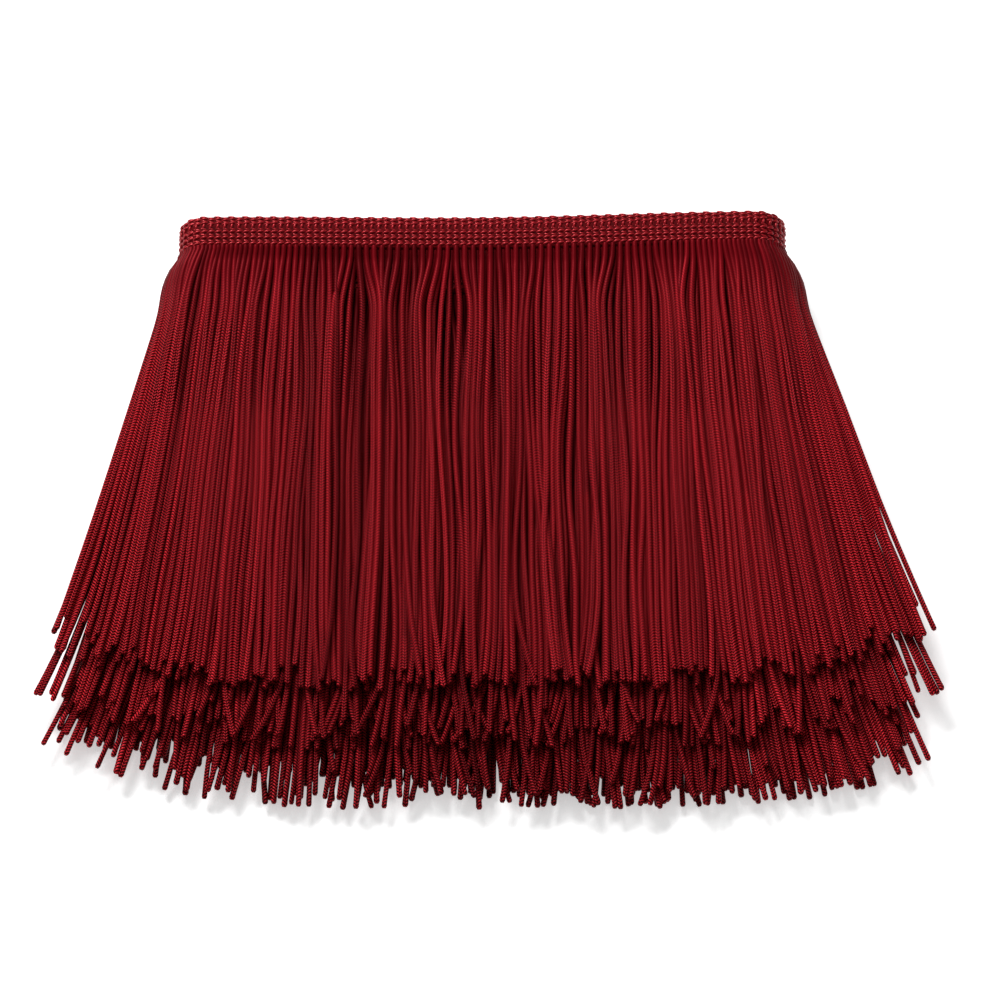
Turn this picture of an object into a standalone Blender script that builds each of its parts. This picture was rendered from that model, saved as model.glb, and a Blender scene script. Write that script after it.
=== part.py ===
"""A length of knitted chainette fringe, wound flat into a coil of five layers and laid down.

The coil lies on its side, with the knitted heading at the back (+Y) and the cut hem at the
front (-Y). Seen along Y the heading tape is a flattened spiral: an outer loose end on the
right, three upper runs and two lower runs, joined by round bends. Each turn has slipped
forwards from under the turn outside it, so the upper runs lie like roof tiles, and their
equal strands end in three tiers. The strands are drawn as locks, a few strands to each.
The origin is the middle of the coil's footprint, level with the surface under it. Lengths
are in metres, and +Z is up.
"""

import math
import random

import bmesh
import bpy
from mathutils import Matrix, Vector

# The trim itself
TAPE_THICK = 0.0024
TAPE_HIGH = 0.0084        # the four upper chain rows of the heading
STRIP_HIGH = 0.0023       # the lowest chain row, which holds the strands
JOIN_GAP = 0.0005         # parts the strip from the tape
ROWS_IN_TAPE = 4
ROW_GROOVE = 0.0006       # width of the groove between two chain rows
GROOVE_DEEP = 0.0004
STRAND_DROP = 0.139       # from the heading to the cut
TIP_RAGGED = 0.0026       # how unevenly the strands are cut
LOCK_DEEP = 0.0014        # a lock's thickness
LOCK_SHARE = 0.76         # a lock's width, as a share of its pitch
LOCK_WIDEST = 0.0030
WIDTH_VARIES = 0.06
NECK = 0.004              # the locks part from each other over this length

# The coil, seen from the front
LEFT_BEND = -0.0795       # X of the centre of the bends on the left
RIGHT_BEND = 0.0779       # and on the right
LAYER_PITCH = 0.0033      # from one layer of tape to the next, at the bends
SLACK_PITCH = 0.00282     # the same in the middle, where the runs sag
TURN_SLIP = 0.012         # how far each turn has slipped towards the hem
BEND_SLIP = 0.0006        # the part of a slip that a bend takes
OUTER_END_BACK = 0.002    # the right end of the top run stands back a little
LOOSE_END_ANGLE = 4       # where the outer loose end stops, short of the bend's side
INNER_END_IN = 0.006      # how far the inner loose end stops short of the left bend
BEND_STEP = 16            # degrees from one section of a bend to the next
RUN_STEPS = 8
STRIP_END_GAP = 0.0004    # between the strips of two layers that meet on a bend

# The pile of strands in front of the heading
PILE_PITCH = 0.0020       # from one layer of strands to the next
SETTLE_FROM_Y = -0.036    # the strands come down from the heading's pitch to this one
SETTLE_TO_Y = -0.060      # between these two places,
EDGE_RAMP = 0.020         # and over this width beyond the bends
SHARED_PLANES = (-0.036, -0.060, -0.105, -0.145, -0.160, -0.170)
PLANE_MARGIN = 0.004      # a lock skips a shared plane that is this near its ends
OVER_THE_RIDE = 0.0045    # the top layer's strands ride over the pile and reach less far
FLARE_POWER = 5           # how sharply the fan grows towards its sides
EARLY_FLARE = 0.9         # the share of the flare that comes first, from the heading on
EARLY_POWER = 0.8
LATE_POWER = 4            # the rest comes near the tips
HEM_RISE = 0.09           # the share by which the outermost strands fall short
HEM_RISE_POWER = 6
HEM_STRAIGHT = 0.8        # past this share of its width, a hem curves back
HEM_SPARE = 0.0065        # a layer lies level this far past the hem of the layer under it,
TIP_FALL = 0.014          # further past deeper ones, and comes down over this length

# The finish
HEADING_RED = (0.19, 0.010, 0.014)
STRAND_RED = (0.15, 0.007, 0.011)
YARN_ROUGHNESS = 0.6

random.seed(11)


def mix(a, b, share):
    return a + (b - a) * share


def smooth(share):
    share = min(1.0, max(0.0, share))
    return share * share * (3 - 2 * share)


# The route of the tape

def layer_height(layer, x):
    """Height of the middle of the tape, for layers 1 at the bottom to 5 at the top."""
    pitch = mix(SLACK_PITCH, LAYER_PITCH, smooth(abs(x) / RIGHT_BEND))
    return TAPE_THICK / 2 + (layer - 1) * pitch


class Bend:
    """A round bend of the tape, from one turn angle to another, seen along Y."""

    def __init__(self, centre_x, centre_layer, layers_out, turn, slip):
        self.centre = (centre_x, layer_height(centre_layer, RIGHT_BEND))
        self.radius = layers_out * LAYER_PITCH
        self.angles = [math.radians(angle) for angle in turn]
        self.slip = slip
        self.length = self.radius * (self.angles[1] - self.angles[0])
        self.steps = round((turn[1] - turn[0]) / BEND_STEP)

    def at(self, share):
        angle = mix(*self.angles, share)
        x = self.centre[0] + self.radius * math.cos(angle)
        z = self.centre[1] + self.radius * math.sin(angle)
        return x, z, mix(*self.slip, share), angle


class Run:
    """A run of the tape between two bends, sagging in the middle."""

    def __init__(self, layer, ends, turn, slip):
        self.layer = layer
        self.ends = ends
        self.angle = math.radians(turn)
        self.slip = slip
        self.length = abs(ends[1] - ends[0])
        self.steps = RUN_STEPS

    def at(self, share):
        x = mix(*self.ends, share)
        return x, layer_height(self.layer, x), mix(*self.slip, share), self.angle


SLIPS = [
    -OUTER_END_BACK, 0, BEND_SLIP, TURN_SLIP - BEND_SLIP, TURN_SLIP,
    TURN_SLIP + BEND_SLIP, 2 * TURN_SLIP - BEND_SLIP, 2 * TURN_SLIP,
]

# Turn angles are those of the tape's outer face: 90 faces up and 270 faces down.
outer_end = Bend(RIGHT_BEND, 2.5, 2.5, (LOOSE_END_ANGLE, 90), (SLIPS[0], SLIPS[0]))
top_run = Run(5, (RIGHT_BEND, LEFT_BEND), 90, (SLIPS[0], SLIPS[1]))
left_outer = Bend(LEFT_BEND, 3, 2, (90, 270), (SLIPS[1], SLIPS[2]))
bottom_run = Run(1, (LEFT_BEND, RIGHT_BEND), 270, (SLIPS[2], SLIPS[3]))
right_outer = Bend(RIGHT_BEND, 2.5, 1.5, (270, 450), (SLIPS[3], SLIPS[4]))
second_run = Run(4, (RIGHT_BEND, LEFT_BEND), 450, (SLIPS[4], SLIPS[4]))
left_inner = Bend(LEFT_BEND, 3, 1, (450, 630), (SLIPS[4], SLIPS[5]))
lower_run = Run(2, (LEFT_BEND, RIGHT_BEND), 630, (SLIPS[5], SLIPS[6]))
right_inner = Bend(RIGHT_BEND, 2.5, 0.5, (630, 810), (SLIPS[6], SLIPS[7]))
third_run = Run(3, (RIGHT_BEND, LEFT_BEND + INNER_END_IN), 810, (SLIPS[7], SLIPS[7]))

ROUTE = [
    outer_end, top_run, left_outer, bottom_run, right_outer,
    second_run, left_inner, lower_run, right_inner, third_run,
]
STARTS = [sum(piece.length for piece in ROUTE[:i]) for i in range(len(ROUTE) + 1)]


def middle_of(piece):
    return STARTS[ROUTE.index(piece)] + piece.length / 2


def station(distance):
    """The tape's frame at a distance along it: X along the tape, Y back and Z outwards."""
    index = max(i for i in range(len(ROUTE)) if STARTS[i] <= distance)
    share = (distance - STARTS[index]) / ROUTE[index].length
    x, z, slip, angle = ROUTE[index].at(share)
    along = Vector((-math.sin(angle), 0, math.cos(angle)))
    outwards = Vector((math.cos(angle), 0, math.sin(angle)))
    frame = Matrix((along, Vector((0, 1, 0)), outwards)).transposed().to_4x4()
    frame.translation = (x, -slip, z)
    return frame


def sweep(bm, outline, frames):
    """Draws an outline of (y, z) points, given in the tape's frame, through the frames."""
    corners = [bm.verts.new(frames[0] @ Vector((0, y, z))) for y, z in outline]
    face = bm.faces.new(corners)
    for before, after in zip(frames, frames[1:]):
        made = bmesh.ops.extrude_face_region(bm, geom=[face, *face.edges])["geom"]
        face = next(item for item in made if isinstance(item, bmesh.types.BMFace))
        bmesh.ops.transform(bm, matrix=after @ before.inverted(), verts=face.verts)


# The heading tape

def tape_outline():
    """The tape's section: chain rows with flat crests outside, and a flat inner face."""
    row_high = TAPE_HIGH / ROWS_IN_TAPE
    crest, inner = TAPE_THICK / 2, -TAPE_THICK / 2
    outline = [(0, inner), (0, crest)]
    for row in range(1, ROWS_IN_TAPE):
        groove = -row * row_high
        outline.append((groove + ROW_GROOVE / 2, crest))
        outline.append((groove, crest - GROOVE_DEEP))
        outline.append((groove - ROW_GROOVE / 2, crest))
    return outline + [(-TAPE_HIGH, crest), (-TAPE_HIGH, inner)]


def make_heading():
    """The tape, swept along its whole route in one piece."""
    frames = []
    for piece, start in zip(ROUTE, STARTS):
        frames += [station(start + piece.length * i / piece.steps) for i in range(piece.steps)]
    frames.append(station(STARTS[-1]))
    bm = bmesh.new()
    sweep(bm, tape_outline(), frames)
    finish_piece("heading_tape", bm, yarn("heading_yarn", HEADING_RED))


# The fringe

STRIP_TOP = -TAPE_HIGH - JOIN_GAP
STRIP_LOW = STRIP_TOP - STRIP_HIGH
FACES_HEM = -0.9          # a normal's Y on the faces that the locks are drawn out of


class Layer:
    """The strands of one run, and of the halves of the bends at its ends."""

    def __init__(self, name, run, span, locks, drop, tips):
        self.name = name
        self.number = run.layer
        self.span = span            # the first and last distance along the tape
        self.locks = locks
        self.drop = drop
        self.tips = tips            # how far the hem reaches to the left and to the right
        self.leftward = run.ends[1] < run.ends[0]
        self.half = (span[1] - span[0]) / 2
        self.centre_x = station(sum(span) / 2).translation.x
        shares = [i / locks for i in range(locks + 1)]
        self.hem = sorted(self.tip(share) for share in shares)

    def root(self, share):
        return station(mix(*self.span, share))

    def tip(self, share):
        """(x, y) of the tip of a strand, on a fan whose sides are swept out and back."""
        across = 1 - 2 * share if self.leftward else 2 * share - 1
        reach = self.tips[1] - self.centre_x if across > 0 else self.centre_x - self.tips[0]
        flare = (reach - self.half) * math.copysign(abs(across) ** FLARE_POWER, across)
        root = self.root(share).translation
        x = self.centre_x + self.half * across + flare
        length = self.drop * (1 - HEM_RISE * abs(across) ** HEM_RISE_POWER)
        forwards = math.sqrt(length ** 2 - (x - root.x) ** 2)
        return x, root.y + STRIP_LOW - forwards

    def hem_y(self, x):
        """How far this layer's strands reach at x, taking its swept back corners as straight."""
        inside = min(HEM_STRAIGHT * self.tips[1], max(HEM_STRAIGHT * self.tips[0], x))
        return min(self.hem, key=lambda tip: abs(tip[0] - inside))[1]

    def centre(self, share, y):
        """The middle of the strands at a share of the span, and at a place along Y."""
        root = self.root(share).translation
        root_y = root.y + STRIP_LOW
        tip_x, tip_y = self.tip(share)
        down = (root_y - y) / (root_y - tip_y)
        flared = mix(down ** LATE_POWER, down ** EARLY_POWER, EARLY_FLARE)
        x = mix(root.x, tip_x, flared)
        z = lay_height(self, x, y)
        if not LEFT_BEND < root.x < RIGHT_BEND:
            z = mix(root.z, z, min(1, (root_y - y) / (root_y - SETTLE_TO_Y)))
        return Vector((x, y, z))


LAYERS = [
    Layer("fringe_bottom_layer", bottom_run,
          (middle_of(left_outer) + STRIP_END_GAP, middle_of(right_outer) - STRIP_END_GAP),
          44, STRAND_DROP, (-0.106, 0.110)),
    Layer("fringe_lower_layer", lower_run,
          (middle_of(left_inner) + STRIP_END_GAP, middle_of(right_inner) - STRIP_END_GAP),
          40, STRAND_DROP, (-0.108, 0.112)),
    Layer("fringe_third_tier", third_run,
          (middle_of(right_inner) + STRIP_END_GAP, STARTS[-1]),
          56, STRAND_DROP + OVER_THE_RIDE, (-0.116, 0.121)),
    Layer("fringe_second_tier", second_run,
          (middle_of(right_outer) + STRIP_END_GAP, middle_of(left_inner) - STRIP_END_GAP),
          58, STRAND_DROP, (-0.122, 0.127)),
    Layer("fringe_first_tier", top_run,
          (0, middle_of(left_outer) - STRIP_END_GAP),
          80, STRAND_DROP - OVER_THE_RIDE, (-0.119, 0.124)),
]


def pile_pitch(x, y):
    """The height of one layer of strands, from the heading's pitch to the settled one."""
    down = min(1, max(0, (SETTLE_FROM_Y - y) / (SETTLE_FROM_Y - SETTLE_TO_Y)))
    out = smooth((abs(x) - RIGHT_BEND) / EDGE_RAMP)
    heading = layer_height(2, x) - layer_height(1, x)
    return mix(heading, PILE_PITCH, max(down, out))


def lay_height(layer, x, y):
    """Height of the middle of a layer's strands, which lie on the layers under it."""
    layers_below = 0
    for other in LAYERS[:layer.number - 1]:
        level_to = other.hem_y(x) - HEM_SPARE * (layer.number - other.number)
        layers_below += 1 - smooth((level_to - y) / TIP_FALL)
    return LOCK_DEEP / 2 + pile_pitch(x, y) * layers_below


def section(layer, share, y, width_share):
    """(centre, half of the side, half of the thickness) of a lock, square to its neighbours."""
    step = 0.5 / layer.locks
    across = layer.centre(share + step, y) - layer.centre(share - step, y)
    half_width = min(across.length * width_share, LOCK_WIDEST) / 2
    side = across.normalized()
    outwards = Vector((side.z, 0, -side.x))
    return layer.centre(share, y), side * half_width, outwards * LOCK_DEEP / 2


def lock_sections(layer, share):
    """The sections of one lock from its neck to its ragged tip, most on shared planes."""
    neck_y = layer.root(share).translation.y + STRIP_LOW - NECK
    tip_y = layer.tip(share)[1]
    width_share = LOCK_SHARE * random.uniform(1 - WIDTH_VARIES, 1 + WIDTH_VARIES)
    inside = (neck_y - PLANE_MARGIN, tip_y + PLANE_MARGIN)
    levels = [neck_y] + [y for y in SHARED_PLANES if inside[0] > y > inside[1]] + [tip_y]
    sections = [section(layer, share, y, width_share) for y in levels]
    before, last = sections[-2][0], sections[-1][0]
    ragged = random.uniform(-TIP_RAGGED, TIP_RAGGED)
    last += (last - before) * ragged / (last - before).length
    return sections


def grow_lock(bm, face, root, sections):
    """Draws a lock out of a face of the strip, from one section to the next."""
    side, outwards = root.col[0].to_3d(), root.col[2].to_3d()
    for centre, next_side, next_outwards in sections:
        face = bmesh.ops.extrude_discrete_faces(bm, faces=[face])["faces"][0]
        middle = face.calc_center_median()
        for vert in face.verts:
            from_middle = vert.co - middle
            along = math.copysign(1, from_middle.dot(side))
            out = math.copysign(1, from_middle.dot(outwards))
            vert.co = centre + along * next_side + out * next_outwards
        side, outwards = next_side, next_outwards


def make_layer(layer):
    """The strip of one layer, with a lock drawn out of each face of its lower edge."""
    bm = bmesh.new()
    inner, outer = -TAPE_THICK / 2, TAPE_THICK / 2
    outline = [(STRIP_TOP, inner), (STRIP_TOP, outer), (STRIP_LOW, outer), (STRIP_LOW, inner)]
    sweep(bm, outline, [layer.root(i / layer.locks) for i in range(layer.locks + 1)])
    bmesh.ops.recalc_face_normals(bm, faces=bm.faces)
    lower = [face for face in bm.faces if face.normal.y < FACES_HEM]
    centres = [face.calc_center_median() for face in lower]
    for i in range(layer.locks):
        share = (i + 0.5) / layer.locks
        root = layer.root(share)
        place = root @ Vector((0, STRIP_LOW, 0))
        nearest = min(range(len(lower)), key=lambda j: (centres[j] - place).length)
        grow_lock(bm, lower[nearest], root, lock_sections(layer, share))
    finish_piece(layer.name, bm, yarn("strand_yarn", STRAND_RED))


# The scene

def yarn(name, colour):
    """A material of silky dark red yarn, made once for all the pieces that share it."""
    material = bpy.data.materials.get(name)
    if material is None:
        material = bpy.data.materials.new(name)
        material.use_nodes = True
        shader = material.node_tree.nodes["Principled BSDF"]
        shader.inputs["Base Color"].default_value = (*colour, 1)
        shader.inputs["Roughness"].default_value = YARN_ROUGHNESS
    return material


def finish_piece(name, bm, material):
    bmesh.ops.recalc_face_normals(bm, faces=bm.faces)
    mesh = bpy.data.meshes.new(name)
    bm.to_mesh(mesh)
    bm.free()
    mesh.materials.append(material)
    collection.objects.link(bpy.data.objects.new(name, mesh))


def rest_on_origin():
    """Moves the pieces so that the origin is the middle of the footprint."""
    points = [vert.co for obj in collection.objects for vert in obj.data.vertices]
    low = [min(point[axis] for point in points) for axis in range(3)]
    high = [max(point[axis] for point in points) for axis in range(3)]
    shift = Vector((-(low[0] + high[0]) / 2, -(low[1] + high[1]) / 2, -low[2]))
    for obj in collection.objects:
        obj.data.transform(Matrix.Translation(shift))
    print("shifted by", [round(value, 6) for value in shift])


for obj in list(bpy.data.objects):
    bpy.data.objects.remove(obj)
collection = bpy.data.collections.new("tassel_fringe_trim")
bpy.context.scene.collection.children.link(collection)
make_heading()
for layer in LAYERS:
    make_layer(layer)
rest_on_origin()
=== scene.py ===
# %% [markdown]
# A length of knitted chainette fringe, wound flat into a coil of five layers and laid on a
# table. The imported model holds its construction: one heading tape, which runs through the
# whole coil, and five layers of strands, drawn as locks. This file dresses it. The tape gets
# its knitted stitches, and each lock becomes the soft cords that it stands for.
#
# Everything is in metres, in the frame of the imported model, with +Z up. The heading is at the
# back (+Y) and the cut hem at the front (-Y).

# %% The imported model
import math

import bmesh
import bpy
import numpy as np
from mathutils import Matrix, Vector


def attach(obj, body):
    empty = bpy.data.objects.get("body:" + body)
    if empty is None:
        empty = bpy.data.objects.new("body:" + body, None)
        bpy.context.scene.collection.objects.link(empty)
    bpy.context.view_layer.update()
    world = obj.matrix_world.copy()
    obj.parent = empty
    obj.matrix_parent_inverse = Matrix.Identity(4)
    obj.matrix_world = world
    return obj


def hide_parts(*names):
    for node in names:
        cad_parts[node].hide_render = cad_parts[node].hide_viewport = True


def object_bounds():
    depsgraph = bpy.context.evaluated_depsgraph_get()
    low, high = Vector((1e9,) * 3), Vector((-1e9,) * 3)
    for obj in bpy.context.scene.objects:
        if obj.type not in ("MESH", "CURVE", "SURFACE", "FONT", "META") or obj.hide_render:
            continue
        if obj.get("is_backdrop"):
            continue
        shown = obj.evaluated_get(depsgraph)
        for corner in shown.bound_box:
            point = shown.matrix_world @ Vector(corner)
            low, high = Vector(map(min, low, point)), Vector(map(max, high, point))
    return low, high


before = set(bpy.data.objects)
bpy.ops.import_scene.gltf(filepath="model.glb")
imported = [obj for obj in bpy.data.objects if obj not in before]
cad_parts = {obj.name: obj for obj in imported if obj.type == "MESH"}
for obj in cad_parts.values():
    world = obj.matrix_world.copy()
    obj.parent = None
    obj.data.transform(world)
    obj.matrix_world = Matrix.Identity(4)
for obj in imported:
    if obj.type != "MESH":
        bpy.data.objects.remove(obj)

cad_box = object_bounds()
print("nodes:", ", ".join(sorted(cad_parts)))

# %% [markdown]
# The heading tape is a flattened spiral, seen from the front: runs joined by round bends. The
# scene could read that path back from the solid, but the solid's faces are coarse. The same
# few sizes, written out again, give the path at any fineness: where each run lies, the round
# bends between them, and how far each turn has slipped towards the hem.

# %% The route of the tape
TAPE_THICK = 0.0024
LEFT_BEND = -0.0795         # X of the centre of the bends on the left
RIGHT_BEND = 0.0779
LAYER_PITCH = 0.0033        # from one layer of tape to the next, at the bends
SLACK_PITCH = 0.00282       # the same in the middle, where the runs sag
TURN_SLIP = 0.012
BEND_SLIP = 0.0006
OUTER_END_BACK = 0.002
LOOSE_END_ANGLE = 4
INNER_END_IN = 0.006
ROUTE_ORIGIN = np.array([-0.002065, 0.089493, 0.0])  # the route's own origin, in the frame


def mix(a, b, share):
    return a + (b - a) * share


def smooth(share):
    share = np.clip(share, 0, 1)
    return share * share * (3 - 2 * share)


def layer_height(layer, x):
    """Height of the middle of the tape, for layers 1 at the bottom to 5 at the top."""
    pitch = mix(SLACK_PITCH, LAYER_PITCH, smooth(np.abs(x) / RIGHT_BEND))
    return TAPE_THICK / 2 + (layer - 1) * pitch


class Bend:
    """A round bend, from one turn angle of the tape's outer face to another."""

    def __init__(self, centre_x, centre_layer, layers_out, turn, slip):
        self.centre = (centre_x, layer_height(centre_layer, RIGHT_BEND))
        self.radius = layers_out * LAYER_PITCH
        self.angles = np.radians(turn)
        self.slip = slip
        self.length = self.radius * (self.angles[1] - self.angles[0])

    def at(self, share):
        angle = mix(*self.angles, share)
        x = self.centre[0] + self.radius * np.cos(angle)
        z = self.centre[1] + self.radius * np.sin(angle)
        return x, -mix(*self.slip, share), z, angle


class Run:
    """A run of the tape between two bends, sagging in the middle."""

    def __init__(self, layer, ends, turn, slip):
        self.layer = layer
        self.ends = ends
        self.angle = math.radians(turn)
        self.slip = slip
        self.length = abs(ends[1] - ends[0])

    def at(self, share):
        x = mix(*self.ends, share)
        return x, -mix(*self.slip, share), layer_height(self.layer, x), self.angle + 0 * x


SLIPS = [
    -OUTER_END_BACK, 0, BEND_SLIP, TURN_SLIP - BEND_SLIP, TURN_SLIP,
    TURN_SLIP + BEND_SLIP, 2 * TURN_SLIP - BEND_SLIP, 2 * TURN_SLIP,
]
outer_end = Bend(RIGHT_BEND, 2.5, 2.5, (LOOSE_END_ANGLE, 90), (SLIPS[0], SLIPS[0]))
top_run = Run(5, (RIGHT_BEND, LEFT_BEND), 90, (SLIPS[0], SLIPS[1]))
left_outer = Bend(LEFT_BEND, 3, 2, (90, 270), (SLIPS[1], SLIPS[2]))
bottom_run = Run(1, (LEFT_BEND, RIGHT_BEND), 270, (SLIPS[2], SLIPS[3]))
right_outer = Bend(RIGHT_BEND, 2.5, 1.5, (270, 450), (SLIPS[3], SLIPS[4]))
second_run = Run(4, (RIGHT_BEND, LEFT_BEND), 450, (SLIPS[4], SLIPS[4]))
left_inner = Bend(LEFT_BEND, 3, 1, (450, 630), (SLIPS[4], SLIPS[5]))
lower_run = Run(2, (LEFT_BEND, RIGHT_BEND), 630, (SLIPS[5], SLIPS[6]))
right_inner = Bend(RIGHT_BEND, 2.5, 0.5, (630, 810), (SLIPS[6], SLIPS[7]))
third_run = Run(3, (RIGHT_BEND, LEFT_BEND + INNER_END_IN), 810, (SLIPS[7], SLIPS[7]))
ROUTE = [
    outer_end, top_run, left_outer, bottom_run, right_outer,
    second_run, left_inner, lower_run, right_inner, third_run,
]
STARTS = [sum(piece.length for piece in ROUTE[:i]) for i in range(len(ROUTE) + 1)]
TAPE_LONG = STARTS[-1]


def middle_of(piece):
    return STARTS[ROUTE.index(piece)] + piece.length / 2


def stations(distances):
    """x, y and z of the middle of the tape's top edge, and its turn angle, for distances along it."""
    distances = np.atleast_1d(np.asarray(distances, float))
    found = np.zeros((4, len(distances)))
    for piece, start in zip(ROUTE, STARTS):
        share = (distances - start) / piece.length
        here = (share >= 0) & (share <= 1 + 1e-9)
        found[:, here] = piece.at(share[here])
    return found


print(f"the tape is {TAPE_LONG:.3f} m long")

# %% [markdown]
# Each layer of strands hangs from one run of the tape and from half of the bends beside it.
# The strands fan out towards the hem, most of all at the sides, and each layer lies on those
# under it, so its height falls in a step past each hem that it covers. These are the curves
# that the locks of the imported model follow, worked out here for single strands.

# %% The layers of strands
STRIP_LOW = -0.0112         # the lower edge of the heading, below its top edge
FLARE_POWER = 3.9           # the fan opens mostly at its sides
EARLY_FLARE = 0.93          # the share of it that opens evenly down a strand
EARLY_POWER = 0.97
LATE_POWER = 4
SHOULDER = 0.0016           # how far the outermost strands swell out just under the heading
SHOULDER_AT, SHOULDER_LONG = 0.008, 0.008
SHOULDER_POWER = 8
SETTLE_TO_Y = -0.060        # the strands of the bends have come down to the pile here
ROUTE_GOES_ON = 1.3         # a strand's route goes on past its cut, to this share of its length
HEM_RISE_POWER = 6
HEM_STRAIGHT = 0.8          # past this share of its reach a hem is taken as level
HEM_POINTS = 60


class Layer:
    """The strands of one run, and of the halves of the bends at its ends."""

    def __init__(self, name, run, span, strands, drop, tips, rise=(0.09, 0.09)):
        self.name = name
        self.number = run.layer
        self.rise = rise            # the share by which the outermost strands fall short
        self.span = span
        self.strands = strands
        self.drop = drop
        self.tips = tips
        self.leftward = run.ends[1] < run.ends[0]
        self.half = (span[1] - span[0]) / 2
        self.centre_x = stations(sum(span) / 2)[0, 0]
        hem_x, hem_y = self.tip(np.linspace(0, 1, HEM_POINTS))
        order = np.argsort(hem_x)
        self.hem = hem_x[order], hem_y[order]

    def root(self, share):
        """Where strands leave the tape, for shares of the layer from one end to the other."""
        return stations(mix(*self.span, share))

    def across(self, share):
        """-1 at the left side of the fringe and 1 at the right."""
        return 1 - 2 * share if self.leftward else 2 * share - 1

    def tip(self, share):
        """(x, y) of the tips of strands, on a fan whose sides are swept out and back."""
        across = self.across(share)
        reach = np.where(across > 0, self.tips[1] - self.centre_x, self.centre_x - self.tips[0])
        flare = (reach - self.half) * np.sign(across) * np.abs(across) ** FLARE_POWER
        root_x, root_y = self.root(share)[:2]
        x = self.centre_x + self.half * across + flare
        rise = np.where(across > 0, self.rise[1], self.rise[0])
        length = self.drop * (1 - rise * np.abs(across) ** HEM_RISE_POWER)
        return x, root_y + STRIP_LOW - np.sqrt(length ** 2 - (x - root_x) ** 2)

    def hem_y(self, x):
        """How far down the cut ends of this layer are at x."""
        inside = np.clip(x, HEM_STRAIGHT * self.tips[0], HEM_STRAIGHT * self.tips[1])
        return np.interp(inside, *self.hem)

    def centres(self, share, y):
        """x and z of each strand's middle, one row for each y and one column for each strand."""
        root_x, root_y, root_z, _ = self.root(share)
        root_y = root_y + STRIP_LOW
        tip_x, tip_y = self.tip(share)
        y = y[:, None]
        down = np.clip((root_y - y) / (root_y - tip_y), 0, ROUTE_GOES_ON)
        x = mix(root_x, tip_x, mix(down ** LATE_POWER, down ** EARLY_POWER, EARLY_FLARE))
        swell = SHOULDER * np.exp(-((root_y - y - SHOULDER_AT) / SHOULDER_LONG) ** 2)
        across = self.across(share)
        x = x + swell * np.sign(across) * np.abs(across) ** SHOULDER_POWER
        z = lay_height(self, x, y)
        on_a_bend = (root_x < LEFT_BEND) | (root_x > RIGHT_BEND)
        settled = np.clip((root_y - y) / (root_y - SETTLE_TO_Y), 0, 1)
        return x, np.where(on_a_bend, mix(root_z, z, settled), z)


print("middle of the top run:", middle_of(top_run), "m along the tape")

# %% [markdown]
# The pile is as high as the coil at the heading, where the tapes hold the layers apart, and
# settles to the thickness of the strands themselves a little further down and out at the
# sides. Past the hem of a layer there is one layer less to lie on.

# %% The height of the pile
LAY_LOW = 0.0007            # the lowest strands' centres are this high
PILE_PITCH = 0.0020
SETTLE_FROM_Y = -0.036
EDGE_RAMP = 0.020
HEM_SPARE = 0.0065          # a step starts this far past a hem, for each layer between
TIP_FALL = 0.014            # and takes this long


def pile_pitch(x, y):
    """The height of one layer of strands, from the heading's pitch to the settled one."""
    down = np.clip((SETTLE_FROM_Y - y) / (SETTLE_FROM_Y - SETTLE_TO_Y), 0, 1)
    out = smooth((np.abs(x) - RIGHT_BEND) / EDGE_RAMP)
    heading = layer_height(2, x) - layer_height(1, x)
    return mix(heading, PILE_PITCH, np.maximum(down, out))


def lay_height(layer, x, y):
    """Height of the middle of a layer's strands, which lie on the layers under it."""
    layers_below = 0 * x
    for other in LAYERS[:layer.number - 1]:
        level_to = other.hem_y(x) - HEM_SPARE * (layer.number - other.number)
        layers_below = layers_below + 1 - smooth((level_to - y) / TIP_FALL)
    return LAY_LOW + pile_pitch(x, y) * layers_below


print(f"a settled layer of strands takes {PILE_PITCH} m")

# %% [markdown]
# The five layers, from the bottom up: the run, the stretch of tape, the number of strands, a
# length, the x of the outermost tips, and by what share the strands there fall short.

# %% The five layers
STRIP_END_GAP = 0.0004
STRAND_DROP = 0.139
OVER_THE_RIDE = 0.0045      # the top layer's strands ride over the pile and reach less far

LAYERS = [
    Layer("fringe_bottom_layer", bottom_run,
          (middle_of(left_outer) + STRIP_END_GAP, middle_of(right_outer) - STRIP_END_GAP),
          200, STRAND_DROP + 0.005, (-0.113, 0.117)),
    Layer("fringe_lower_layer", lower_run,
          (middle_of(left_inner) + STRIP_END_GAP, middle_of(right_inner) - STRIP_END_GAP),
          190, STRAND_DROP + 0.006, (-0.116, 0.120), (0.070, 0.050)),
    Layer("fringe_third_tier", third_run,
          (middle_of(right_inner) + STRIP_END_GAP, TAPE_LONG),
          190, STRAND_DROP + OVER_THE_RIDE, (-0.120, 0.124), (0.075, 0.055)),
    Layer("fringe_second_tier", second_run,
          (middle_of(right_outer) + STRIP_END_GAP, middle_of(left_inner) - STRIP_END_GAP),
          190, STRAND_DROP, (-0.122, 0.1265), (0.080, 0.075)),
    Layer("fringe_first_tier", top_run,
          (0, middle_of(left_outer) - STRIP_END_GAP),
          212, STRAND_DROP - OVER_THE_RIDE + 0.0006, (-0.120, 0.125), (0.080, 0.08)),
]
print("strands:", sum(layer.strands for layer in LAYERS))

# %% [markdown]
# Yarn never lies as evenly as the locks do. Strands drift, bunch together and leave dark gaps,
# and where one is pushed aside its neighbours follow. That could be drawn by hand, strand by
# strand, or left to a cloth solver, but a thousand cords in contact are slow to solve. Here
# the pile is settled in slices: in each upright slice across the fringe a strand is a soft
# disc, and discs that overlap push apart. A little smoothing along each strand stands for its
# stiffness, and a pull holds it to its layer, firmly at the heading and weakly at the hem.

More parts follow.
